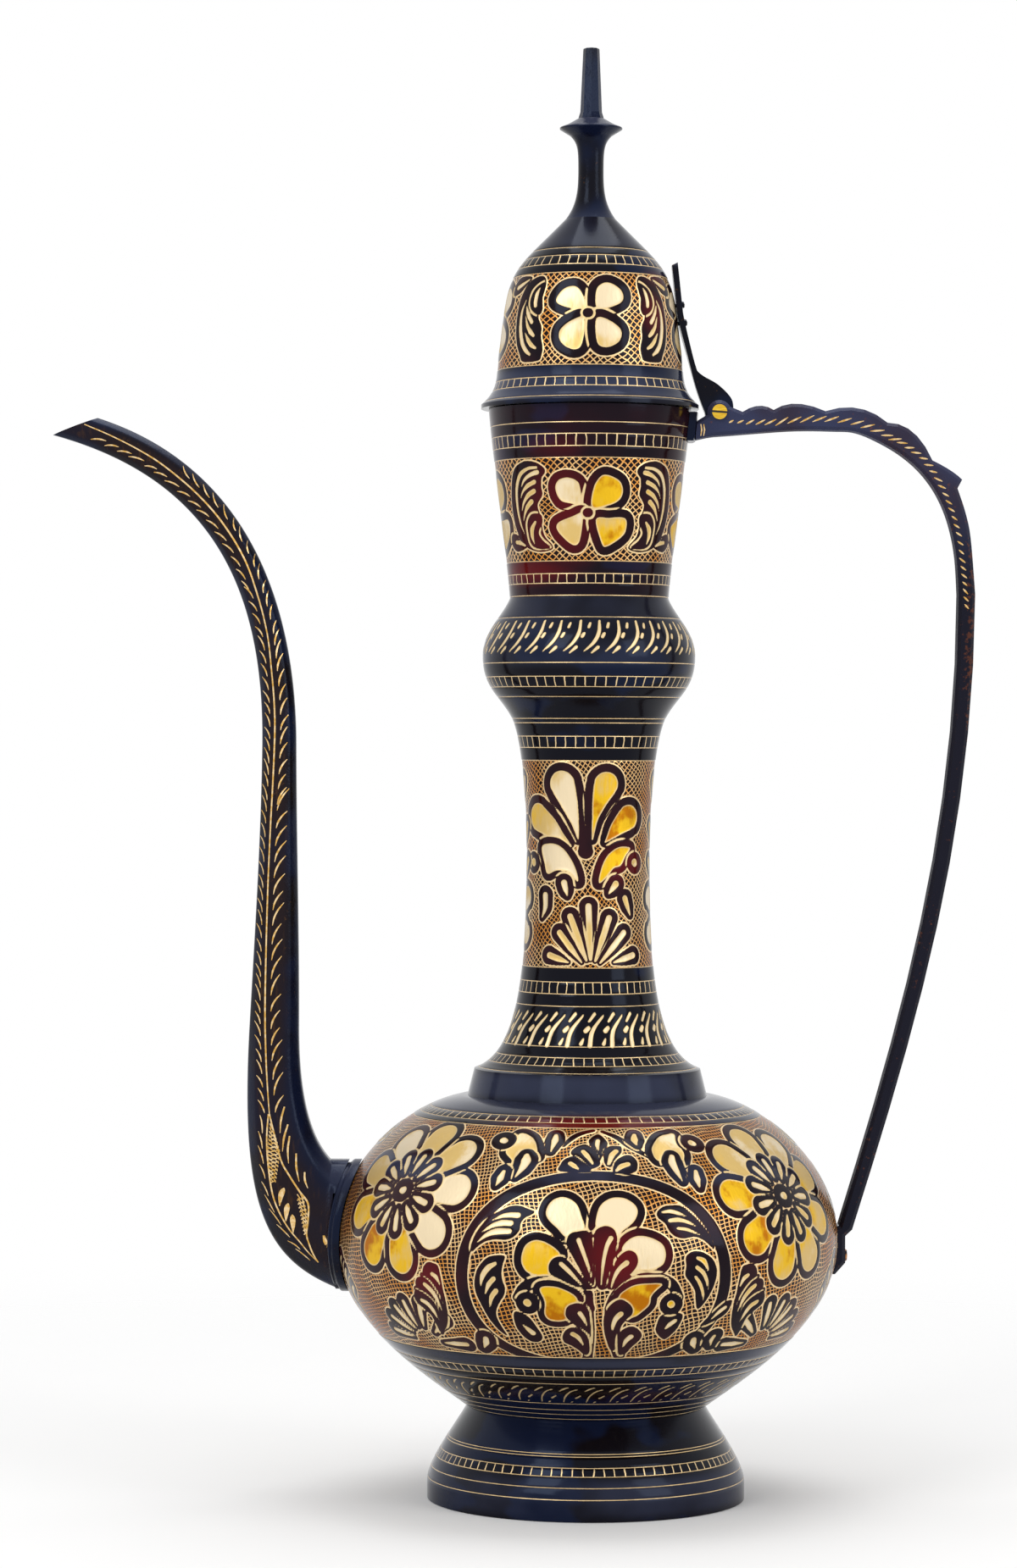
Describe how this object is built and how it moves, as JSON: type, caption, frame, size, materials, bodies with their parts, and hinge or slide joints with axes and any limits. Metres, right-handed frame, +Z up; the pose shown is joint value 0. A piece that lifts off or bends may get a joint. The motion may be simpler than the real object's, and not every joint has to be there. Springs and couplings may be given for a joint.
{
  "type": "covered brass ewer",
  "caption": "Covered ewer with a footed round body, tall waisted neck, domed lid hinged in a forked cast handle and a long bent faceted spout.",
  "frame": {"origin": "on the ground under the middle of the object's whole box, which is 29.8 mm from the vessel's own axis towards the spout", "axes": "+Z up along the vessel, +X from the spout towards the handle, +Y from the side with the hinge screw's head towards the far side"},
  "size_m": [0.3624, 0.1972, 0.5696],
  "materials": {
    "lacquered_brass": "engraved brass with a near-black lacquer ground, glossy",
    "cast_brass": "cast brass under near-black lacquer, scratched through to the metal, glossy",
    "bright_brass": "bare turned brass, bright",
    "copper": "worn copper rivet"
  },
  "bodies": {
    "vessel": {"foot": "lacquered_brass", "body_bowl": "lacquered_brass", "body_shoulder": "lacquered_brass", "neck": "lacquered_brass", "neck_bulb": "lacquered_brass", "mouth_collar": "lacquered_brass", "pivot_screw": "bright_brass", "handle": "cast_brass", "handle_saddle": "cast_brass", "handle_tail_rivet": "copper", "spout": "cast_brass", "spout_mount": "cast_brass"},
    "lid": {"lid_dome": "lacquered_brass", "finial_stem": "cast_brass", "finial_spike": "cast_brass", "lid_strap": "cast_brass", "strap_rivet_upper": "cast_brass", "strap_rivet_lower": "cast_brass"}
  },
  "joints": [
    {"name": "lid_hinge", "type": "hinge", "parent": "vessel", "child": "lid", "pos_m": [0.08054, 0, 0.4263], "axis": [0, 1, 0], "range_deg": [0, 95]}
  ]
}
